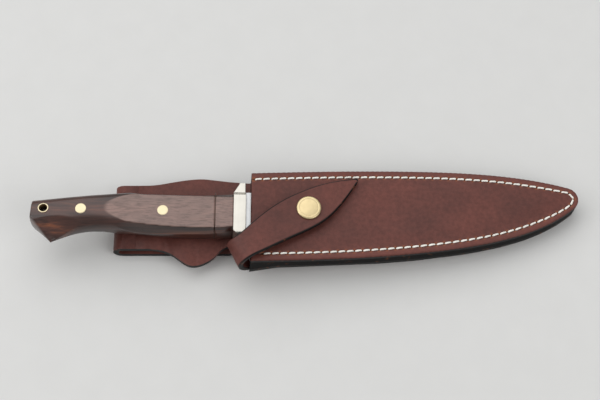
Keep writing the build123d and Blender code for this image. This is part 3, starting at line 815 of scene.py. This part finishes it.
def strap_surface(rows, across):
    """The strap: its section is carried round a half circle and along the top to the tip.

    Rows run along the leather; each column keeps its share of the way from one side to the other. The first
    row lies on the sheath's mouth, so its columns start at different angles of the half circle."""
    arc_rows = rows // 2
    even_steps = np.linspace(0, 1, rows - arc_rows + 1)[1:]
    s = BEND_S + (STRAP_TIP_S - BEND_S) * (1 - (1 - even_steps) ** 1.35)
    s = np.repeat(s[:, None], across, 1)
    faces = []
    for q, up in ((side_spacing(across), 1), (side_spacing(across)[::-1], -1)):
        half = STRAP_HALF - STRAP_ROUNDING * (1 - np.clip(np.minimum(q, 1 - q) * 22, 0, 1)) ** 2
        mouth = MOUTH_LOW + MOUTH_WIDTH * (1 - q)
        begin = np.arcsin(np.clip((BEND_S - math.tan(STRAP_TURN) * mouth) / STRAP_MID, -0.99, 0.99))
        angle = begin + (math.pi - begin) * np.linspace(0, 1, arc_rows)[:, None]
        radius = STRAP_MID + up * half
        x, y = off_strap(BEND_S - radius * np.sin(angle), strap_row(BEND_S - STRAP_MID * np.sin(angle), q))
        curl = np.stack([x, y, -radius * np.cos(angle)], -1)
        x, y = off_strap(s, strap_row(s, q))
        fall = FALL * np.clip((s - FALL_FROM) / FALL_RUN, 0, 1.2) ** 1.25
        dip = CAP_DIP * bell(np.hypot(x - CAP_CENTER[0], y - CAP_CENTER[1]) / CAP_DIP_REACH) if up > 0 else 0
        bow = BOW * np.sin(np.clip((s - BEND_S) / BOW_RUN, 0, 1) * math.pi)
        closing = quarter((s - (STRAP_TIP_S - STRAP_ROUNDING)) / STRAP_ROUNDING)
        z = STRAP_MID - fall + bow - dip + up * half * closing
        faces.append(np.concatenate([curl, np.stack([x, y, z], -1)]))
    return np.concatenate(faces, 1)


class SHEATH_OT_strap(bpy.types.Operator):
    """Builds the retaining strap, from the mouth of the sheath round the guard to its tip"""

    bl_idname = "sheath_knife.strap"
    bl_label = "Retaining strap"

    def execute(self, context):
        surface = strap_surface(150, 46)
        root = (surface[:1] + surface[:1, ::-1]) / 2
        surface = np.concatenate([root, surface])
        obj = skin("strap_leather", surface, None, "oiled_leather", ("strap_bend", "strap_flap"))
        s, r = along_strap(unlay(obj)[:, :2]).T
        high, low = strap_sides(s)
        paint(obj, "edge", 1 - smoothstep(0.55, 1.0, np.minimum(high - r, r - low)))
        paint(obj, "rim", np.zeros(len(s)))
        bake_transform(obj)
        return {"FINISHED"}


# ---------------------------------------------------------------- grip
GRIP_FRONT, SPACER_FRONT, BLOCK_FRONT = -10.4, -20.9, -21.4
# the grip's lines, each as (x, value): heights of its top, belly and ridge, and half thickness of its side
GRIP_TOP = ((-10.4, 15.0), (-21.1, 14.1), (-36, 13.1), (-65, 12.1), (-89, 11.0), (-106, 9.0), (-127.8, 6.2))
GRIP_LOW = (
    (-10.4, -10.4), (-21.1, -12.0), (-36, -12.6), (-60, -12.1), (-88, -9.9), (-104, -12.4), (-116.6, -18.6),
)
GRIP_SIDE = (
    (-10.4, 10.7), (-56, 10.4), (-72, 9.7), (-83, 8.98), (-92, 8.62), (-106, 8.48), (-118, 8.35), (-130, 8.1),
)
GRIP_RIDGE = (
    (-10.4, -9.6), (-40, -10.2), (-62, -8.8), (-76, -7.2), (-95, -6.6), (-112, -7.2), (-122, -9.5), (-130, -12),
)
TOP_FACET = 9.4  # height at which the side starts to fall away to the grip's top
BUTT_CORNERS = ((-116.6, -18.6), (-129.5, -5.4), (-129.0, 6.2))
PIN_RADIUS = 3.175
PROUD = 0.05  # how far the brass stands over the wood
PINS = (("front_pin", -51.8), ("rear_pin", -99.6))
PIN_EDGE, CORNER = 0.06, 0.25  # the pins' broken edge, and the round on the tube's and the cap's corners
TUBE_X, TUBE_BORE = -121.4, 2.4
CAP_PROFILE = (  # radius and height of the snap's cap, from its underside over the rolled rim to its crown
    (0, 12.2), (1.9, 12.2), (1.9, 12.55), (6.2, 12.55), (7.0, 12.7), (7.3, 13.1), (7.25, 13.65), (6.9, 14.05),
    (6.2, 14.24), (5.65, 14.24), (5.45, 14.14), (5.25, 14.24), (3.6, 14.40), (1.8, 14.48), (0, 14.5),
)


def along(line, x):
    """A grip line's height at x."""
    knots = np.array(line)[::-1]
    return spline(knots[:, 0], knots[:, 1], x)


def soft_least(a, b, soft):
    """The smaller of two heights, the corner between them eased over soft millimetres."""
    return -soft * np.logaddexp(-a / soft, -b / soft)


def grip_side(x, share, half):
    """Half thickness of the grip at x, share of the way from its middle (0) to its top or belly (-1 or 1).

    The section is |y|^n + |z|^n = 1, boxy in front (n = 5.2 above and 4.4 below) and rounder behind (3.4 and
    2.6). It is ground flat on both sides. Below the ridge, and above the top facet's height, the side falls
    away in a plane, steep in front and easy behind."""
    front = smoothstep(-90.0, -60.0, x)
    power = np.where(share > 0, 3.4, 2.6) + 1.8 * front
    round_side = along(GRIP_SIDE, x) * np.clip(1 - np.abs(share) ** power, 0, 1) ** (1 / power)
    top, low = along(GRIP_TOP, x), along(GRIP_LOW, x)
    y = (top + low) / 2 + (top - low) / 2 * share
    slope = 0.80 + 1.6 * front
    crest = np.minimum(along(GRIP_SIDE, x), half) - 0.12 * (1 - front)
    below = crest + slope * (y - along(GRIP_RIDGE, x))
    side = soft_least(round_side, half, 0.05)
    over = crest + 0.3 + 2.1 * (TOP_FACET - y) + 6.0 * (1 - front)
    lower = soft_least(side, np.maximum(below, 0.3 * side), 0.12)
    upper = soft_least(side, np.maximum(over, 0.12 * side), 0.20)
    return np.where(share < 0, lower, upper)


def grip_lines(front, back_at, where):
    """Heights of the grip's top and belly at a share of the way from its front to its end.

    Each line is followed along its own run, because the butt leans."""
    ends = back_at(np.array([1.0, -1.0]))
    return [along(line, front + (end - front) * where) for line, end in zip((GRIP_TOP, GRIP_LOW), ends)]


def grip_surface(front, back_at, rows, half, round_end):
    """The grip's skin between a flat front and an end given by its x at each height share.

    Rows run from front to back and columns round the section; the last rows close over the butt."""
    columns = 144
    angle = np.linspace(0, 2 * math.pi, columns, endpoint=False)
    share = np.sign(np.cos(angle)) * np.abs(np.cos(angle)) ** 0.75
    where = np.linspace(0, 1, rows)
    if round_end:
        where = 1 - (1 - where) ** 1.25
    butt = back_at(share)
    x = front + (butt - front)[None] * where[:, None]
    top, low = (line[:, None] for line in grip_lines(front, back_at, where))
    middle, reach = (top + low) / 2, (top - low) / 2
    y = middle + reach * share[None]
    z = grip_side(x.ravel(), np.tile(share, rows), half).reshape(x.shape) * np.sign(np.sin(angle))[None]
    z[:, np.abs(np.sin(angle)) < 1e-9] = 0
    if round_end:
        left = (x - butt[None]) / 1.5
        fold = (1 - np.clip(1 - left, 0, 1) ** 2.6) ** (1 / 2.6)
        y = middle + (y - middle) * (0.975 + 0.025 * fold)
        z = z * fold
    return np.stack([x, y, z], -1)


def collar_end(share):
    """x of the collar's end: the same at each height share."""
    return np.full(share.shape, SPACER_FRONT)


def butt_line(share):
    """x of the butt at each height share: the straight top facet and the slanted heel, their corner eased."""
    corners = np.array(BUTT_CORNERS, float)
    height = corners[0, 1] + (share + 1) / 2 * (corners[-1, 1] - corners[0, 1])
    fine = np.linspace(corners[0, 1] - 3, corners[-1, 1] + 3, 400)
    line = np.interp(fine, corners[:, 1], corners[:, 0])
    kernel = bell(np.linspace(-2.5, 2.5, 61))
    soft = np.convolve(np.pad(line, 30, mode="edge"), kernel / kernel.sum(), "valid")
    return np.interp(height, fine, soft)


def cut_bore(obj, x, radius):
    """Bores a round hole through a piece, square to its flats."""
    angle = np.linspace(0, 2 * math.pi, 64, endpoint=False)
    ring = np.stack([x + radius * np.cos(angle), radius * np.sin(angle)], -1)
    bars = np.concatenate([np.column_stack([ring, np.full(64, z)]) for z in (-20.0, 20.0)])
    mesh = bpy.data.meshes.new("bore")
    walls = grid_faces(2, 64, wrap_columns=True).tolist()
    mesh.from_pydata(lay(bars).tolist(), [], [*walls, list(range(63, -1, -1)), list(range(64, 128))])
    cutter = clean(add_object("bore", mesh))
    cut = obj.modifiers.new("bore", "BOOLEAN")
    cut.operation = "DIFFERENCE"
    cut.solver = "EXACT"
    cut.object = cutter
    apply_modifiers(obj)
    bpy.data.objects.remove(cutter)


def apply_modifiers(obj):
    """Leaves the piece as its modifiers make it."""
    bpy.context.view_layer.update()
    evaluated = obj.evaluated_get(bpy.context.evaluated_depsgraph_get())
    mesh = bpy.data.meshes.new_from_object(evaluated)
    old = obj.data
    obj.modifiers.clear()
    obj.data = mesh
    bpy.data.meshes.remove(old)
    mesh.name = obj.name


def capped(surface):
    """A tube of rows with each open end drawn to its middle line and closed."""
    first, last = surface[:1].copy(), surface[-1:].copy()
    first[..., 2] = last[..., 2] = 0
    return np.concatenate([first, surface, last])


class SHEATH_OT_grip(bpy.types.Operator):
    """Builds the wooden grip: the collar behind the guard and the block with its butt and its bore"""

    bl_idname = "sheath_knife.grip"
    bl_label = "Grip"

    def execute(self, context):
        half = mm(context.scene.knife_settings.facet_half)
        parts = (
            ("collar_wood", GRIP_FRONT, collar_end, 12, False, "handle_collar"),
            ("grip_wood", BLOCK_FRONT, butt_line, 150, True, "handle_block"),
        )
        for name, front, back_at, rows, round_end, node in parts:
            surface = capped(grip_surface(front, back_at, rows, half, round_end))
            obj = skin(name, surface, "knife", "polished_wood", (node,))
            if round_end:
                cut_bore(obj, TUBE_X, PIN_RADIUS - 0.1)
            points = unlay(obj)
            # marks the ground flats, where the wood takes a painted reflection of the light and a drier finish
            paint(obj, "flat", smoothstep(half - 0.22, half - 0.06, np.abs(points[:, 2])))
        return {"FINISHED"}


def turned(name, center, profile, body, finish, replaces=(), fit=None, count=72):
    """A turned piece: a profile of (radius, height) points spun round an upright axis; closed where the
    profile starts and ends on the axis. fit, where given, moves the finished points."""
    angle = np.linspace(0, 2 * math.pi, count, endpoint=False)
    radius, height = np.asarray(profile, float).T
    x = center[0] + radius[:, None] * np.cos(angle)[None]
    y = center[1] + radius[:, None] * np.sin(angle)[None]
    z = np.repeat(height[:, None], count, 1)
    closed = radius[0] > 0
    surface = np.stack([x, y, z], -1).reshape(-1, 3)
    if fit is not None:
        surface = fit(surface)
    faces = grid_faces(len(radius), count, wrap_rows=closed, wrap_columns=True)
    return mesh_piece(name, surface, faces, body, finish, replaces)


def rounded(profile, size, steps=5):
    """A profile with each inner corner replaced by a small curve, a quadratic between points size away."""
    points = [np.array(point, float) for point in profile]
    result = [points[0]]
    for before, corner, after in zip(points, points[1:], points[2:]):
        reach = [min(size, 0.45 * np.linalg.norm(end - corner)) for end in (before, after)]
        a = corner + (before - corner) / np.linalg.norm(before - corner) * reach[0]
        b = corner + (after - corner) / np.linalg.norm(after - corner) * reach[1]
        t = np.linspace(0, 1, steps)[:, None]
        result.extend((1 - t) ** 2 * a + 2 * t * (1 - t) * corner + t**2 * b)
    return [*result, points[-1]]


def face_at(x, half):
    """Half thickness of the grip at x, on its middle line."""
    return float(grip_side(np.array([x]), np.array([0.0]), half)[0])


def flush(points, half, face):
    """Moves a fitting's two faces on to the grip's skin, so that it is ground down with the wood.

    The grip's rows lean with its butt, so a point's height share is found by repeated substitution."""
    x, y, z = points.T
    share = np.zeros(len(x))
    for _ in range(12):
        where = (x - BLOCK_FRONT) / (butt_line(share) - BLOCK_FRONT)
        top, low = grip_lines(BLOCK_FRONT, butt_line, where)
        share = np.clip((2 * y - top - low) / (top - low), -1, 1)
    side = grip_side(x, share, half)
    return np.column_stack([x, y, np.where(np.abs(z) > 4, np.sign(z) * (side + PROUD + np.abs(z) - face), z)])


class SHEATH_OT_fittings(bpy.types.Operator):
    """Turns the brass: the pins, the thong tube and the snap's cap"""

    bl_idname = "sheath_knife.fittings"
    bl_label = "Brass fittings"

    def execute(self, context):
        half = mm(context.scene.knife_settings.facet_half)
        for node, x in PINS:
            face = face_at(x, half) + PIN_EDGE
            ring = [(r, face) for r in np.linspace(PIN_RADIUS - 0.1, 0, 6)]
            side = [(PIN_RADIUS, PIN_EDGE - face), (PIN_RADIUS, face - PIN_EDGE)]
            profile = [*((r, -h) for r, h in ring[::-1]), *side, *ring]
            fit = partial(flush, half=half, face=face)
            turned(node + "_brass", (x, 0), profile, "knife", "pin_metal", (node,), fit)
        face = face_at(TUBE_X, half) + 0.10
        wall = [(TUBE_BORE, -face), (PIN_RADIUS, -face), (PIN_RADIUS, face), (TUBE_BORE, face)]
        tube = rounded([*wall, *wall[:2]], CORNER)[1:-1]
        fit = partial(flush, half=half, face=face)
        turned("tube_brass", (TUBE_X, 0), tube, "knife", "pin_metal", ("thong_tube",), fit)
        inner, outer, end = TUBE_BORE - 0.04, TUBE_BORE + 0.02, face - 0.4
        lining = [(inner, -end), (outer, -end), (outer, end), (inner, end)]
        turned("tube_patina", (TUBE_X, 0), lining, "knife", "patina", (), fit)
        cap = rounded(CAP_PROFILE, CORNER)
        turned("snap_cap_brass", CAP_CENTER, cap, "strap", "snap_metal", ("snap_cap",))
        return {"FINISHED"}


# ---------------------------------------------------------------- back panel
def softened(node, name, width):
    """A copy of a node of the frame, its flats made whole and its corners rounded off by width in metres."""
    obj = add_object(name, frame["nodes"][node].data.copy())
    with reshaped(obj) as work:
        bmesh.ops.remove_doubles(work, verts=work.verts, dist=2 * MERGE)
        flat = math.radians(2.0)
        bmesh.ops.dissolve_limit(work, angle_limit=flat, verts=work.verts, edges=work.edges)
    round_off = obj.modifiers.new("round", "BEVEL")
    round_off.width, round_off.segments = width, 3
    round_off.limit_method, round_off.angle_limit = "ANGLE", math.radians(40)
    weigh = obj.modifiers.new("weigh", "WEIGHTED_NORMAL")
    weigh.mode, weigh.weight = "FACE_AREA", 80
    apply_modifiers(obj)
    obj.data.polygons.foreach_set("use_smooth", np.full(len(obj.data.polygons), True))
    return obj


class SHEATH_OT_back(bpy.types.Operator):
    """Builds the back panel with the belt loop, its cut edges rounded and burnished"""

    bl_idname = "sheath_knife.back"
    bl_label = "Back panel and belt loop"

    def execute(self, context):
        obj = softened("back_panel", "back_leather", 0.0005)
        obj.data.materials.clear()
        obj.data.materials.append(finish_of("oiled_leather"))
        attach(obj, "sheath")
        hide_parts("back_panel")
        normals = np.empty(len(obj.data.vertices) * 3)
        obj.data.vertices.foreach_get("normal", normals)
        lengthways, sideways, _ = np.abs(normals.reshape(-1, 3)).T
        x = unlay(obj)[:, 0]
        end = lengthways * ((x > 40) | (np.abs(x) < 1.0))
        paint(obj, "edge", smoothstep(0.55, 0.85, np.maximum(sideways, end)))
        paint(obj, "rim", np.zeros(len(x)))
        return {"FINISHED"}


# ---------------------------------------------------------------- guard
GUARD_LOW, GUARD_HIGH = -14.2, 20.7
GUARD_BACK, GUARD_FRONT, GUARD_HALF = -10.4, -2.9, 9.0
GUARD_CORNER, GUARD_TUCK = 0.38, 0.4  # radius of its long corners, and the round at its two ends


def guard_surface():
    """The guard: rounded rectangles in x and z, stacked along y.

    Over the grip it is full size; each end slopes in from the grip's side to a lug, which is also thinner."""
    y = np.r_[GUARD_LOW, GUARD_LOW + 0.12, GUARD_LOW + 0.4, np.linspace(GUARD_LOW + 0.8, -10.5, 14)]
    y = np.r_[y, np.linspace(-9.0, 9.5, 10), np.linspace(10.2, GUARD_HIGH - 0.9, 36)]
    y = np.r_[y, GUARD_HIGH - 0.4, GUARD_HIGH - 0.12, GUARD_HIGH]
    ends = np.minimum(y - GUARD_LOW, GUARD_HIGH - y)
    tuck = GUARD_TUCK * (1 - quarter(1 - np.clip(ends / GUARD_TUCK, 0, 1)))
    slope_high, slope_low = np.clip((y - 14.3) / 5.6, 0, 1), np.clip((-11.4 - y) / 2.6, 0, 1)
    left = GUARD_BACK + 3.4 * slope_high + 3.2 * slope_low + tuck
    right = GUARD_FRONT - 0.4 * smoothstep(13.8, 14.8, y) - 0.4 * smoothstep(10.2, 11.2, -y) - tuck
    half = GUARD_HALF - 4.0 * smoothstep(11.0, 14.6, y) - 1.0 * smoothstep(12.4, 14.0, -y) - tuck
    turn = np.radians(np.r_[0:91:18, 90:181:18, 180:271:18, 270:361:18])
    corner = np.repeat([1, -1, -1, 1], 6), np.repeat([1, 1, -1, -1], 6)
    reach = ((right - left) / 2 - GUARD_CORNER)[:, None]
    x = ((right + left) / 2)[:, None] + reach * corner[0] + GUARD_CORNER * np.cos(turn)
    z = (half - GUARD_CORNER)[:, None] * corner[1] + GUARD_CORNER * np.sin(turn)
    return np.stack([x, np.repeat(y[:, None], len(turn), 1), z], -1)


class SHEATH_OT_guard(bpy.types.Operator):
    """Builds the guard with its two lugs and broken corners"""

    bl_idname = "sheath_knife.guard"
    bl_label = "Guard"

    def execute(self, context):
        obj = skin("guard_silver", capped(guard_surface()), "knife", "guard_metal", ("guard",))
        with reshaped(obj) as work:
            for edge in work.edges:
                edge.smooth = len(edge.link_faces) == 2 and edge.calc_face_angle(0.0) < math.radians(40)
        return {"FINISHED"}


# ---------------------------------------------------------------- finishes of the frame, and the stage
FLOOR_HALF, FLOOR_GAP = 3.0, 0.0002  # half the floor's side, and how far it lies below the object, in metres
SENSOR_WIDTH = 36.0
VIEW_TARGET = (29.5, 13.5, -1.8)  # what the camera and the lamps look at, in the knife's own frame
WORLD_STRENGTH = 0.40
LIGHTS = (  # name, place from the target in metres, size in metres and power in watts
    ("key", (-0.35, 0.75, 1.35), (2.6, 1.8), 21.0),
    ("fill", (0.85, -0.65, 0.95), (0.9, 0.9), 6.0),
    ("rim", (-1.1, -0.2, 0.6), (0.5, 0.9), 4.0),
)
CAD_FINISHES = (  # material slot, finish and the nodes that have them
    ("leather", "oiled_leather", ("front_panel", "back_panel", "strap_bend", "strap_flap")),
    ("leather_edge", "burnished_edge", ("upper_welt", "lower_welt")),
    ("thread", "waxed_thread", ("seam_thread", "loop_thread")),
    ("snap_brass", "snap_metal", ("snap_stud", "snap_post", "snap_socket", "snap_cap")),
    ("blade_steel", "satin_steel", ("blade",)),
    ("guard_metal", "guard_metal", ("guard",)),
    ("handle_wood", "polished_wood", ("handle_collar", "handle_block")),
    ("spacer", "fibre", ("handle_spacer",)),
    ("pin_brass", "pin_metal", ("front_pin", "rear_pin", "thong_tube")),
)


class SHEATH_OT_finishes(bpy.types.Operator):
    """Gives each piece of the frame its finish"""

    bl_idname = "sheath_knife.finishes"
    bl_label = "Finishes"

    def execute(self, context):
        for slot, finish, names in CAD_FINISHES:
            for name in names:
                materials = frame["nodes"][name].data.materials
                materials.clear()
                materials.append(finish_of(finish))
        return {"FINISHED"}


class SHEATH_OT_stage(bpy.types.Operator):
    """Sets the floor, the soft lights, the world and the camera"""

    bl_idname = "sheath_knife.stage"
    bl_label = "Stage"

    def execute(self, context):
        settings = context.scene.stage_settings
        floor = bpy.data.meshes.new("floor")
        corners = [(x * FLOOR_HALF, y * FLOOR_HALF, 0) for x, y in ((-1, -1), (1, -1), (1, 1), (-1, 1))]
        floor.from_pydata(corners, [], [(0, 1, 2, 3)])
        ground = add_object("floor", floor)
        ground.location.z = -FLOOR_GAP
        floor.materials.append(plain_material("pale_floor", settings.floor_color, 0.9))

        middle = Vector((ORIGIN + tilt(VIEW_TARGET)) / 1000)
        for name, place, size, power in LIGHTS:
            lamp = bpy.data.lights.new(name, "AREA")
            lamp.shape = "RECTANGLE"
            lamp.size, lamp.size_y = size
            lamp.energy = power
            holder = add_object(name, lamp)
            holder.location = middle + Vector(place)
            holder.rotation_euler = (-Vector(place)).to_track_quat("-Z", "Y").to_euler()

        world = bpy.data.worlds.new("studio")
        world.use_nodes = True
        background = world.node_tree.nodes["Background"]
        background.inputs["Color"].default_value = (1, 1, 1, 1)
        background.inputs["Strength"].default_value = WORLD_STRENGTH
        context.scene.world = world

        camera = bpy.data.cameras.new("camera")
        camera.sensor_width = SENSOR_WIDTH
        camera.lens = settings.camera_lens
        camera.clip_start = 0.01
        holder = add_object("camera", camera)
        elevation = settings.camera_elevation
        away = Vector((0, -math.cos(elevation), math.sin(elevation)))
        holder.location = middle + away * settings.camera_distance
        holder.rotation_euler = (-away).to_track_quat("-Z", "Y").to_euler()
        context.scene.camera = holder
        context.scene.view_settings.view_transform = "Standard"
        return {"FINISHED"}


OPERATORS = (
    SHEATH_OT_stage,
    SHEATH_OT_finishes,
    SHEATH_OT_front,
    SHEATH_OT_seam,
    SHEATH_OT_back,
    SHEATH_OT_tab_seam,
    SHEATH_OT_strap,
    SHEATH_OT_grip,
    SHEATH_OT_guard,
    SHEATH_OT_fittings,
)


class SHEATH_PT_panel(bpy.types.Panel):
    """Lists the steps that build the sheath knife"""

    bl_idname = "SHEATH_PT_panel"
    bl_label = "Sheath Knife"
    bl_space_type = "VIEW_3D"
    bl_region_type = "UI"
    bl_category = "Sheath Knife"

    def draw(self, context):
        for step in OPERATORS:
            self.layout.operator(step.bl_idname)


SETTINGS = (
    ("sheath_settings", SheathSettings),
    ("knife_settings", KnifeSettings),
    ("stage_settings", StageSettings),
)


def register():
    for name, group in SETTINGS:
        bpy.utils.register_class(group)
        setattr(bpy.types.Scene, name, bpy.props.PointerProperty(type=group))
    for cls in (*OPERATORS, SHEATH_PT_panel):
        bpy.utils.register_class(cls)


def unregister():
    for cls in reversed((*OPERATORS, SHEATH_PT_panel)):
        bpy.utils.unregister_class(cls)
    for name, group in reversed(SETTINGS):
        delattr(bpy.types.Scene, name)
        bpy.utils.unregister_class(group)


def main():
    """Builds the whole object."""
    register()
    for step in OPERATORS:
        group, name = step.bl_idname.split(".")
        getattr(getattr(bpy.ops, group), name)()


if __name__ == "__main__":
    main()
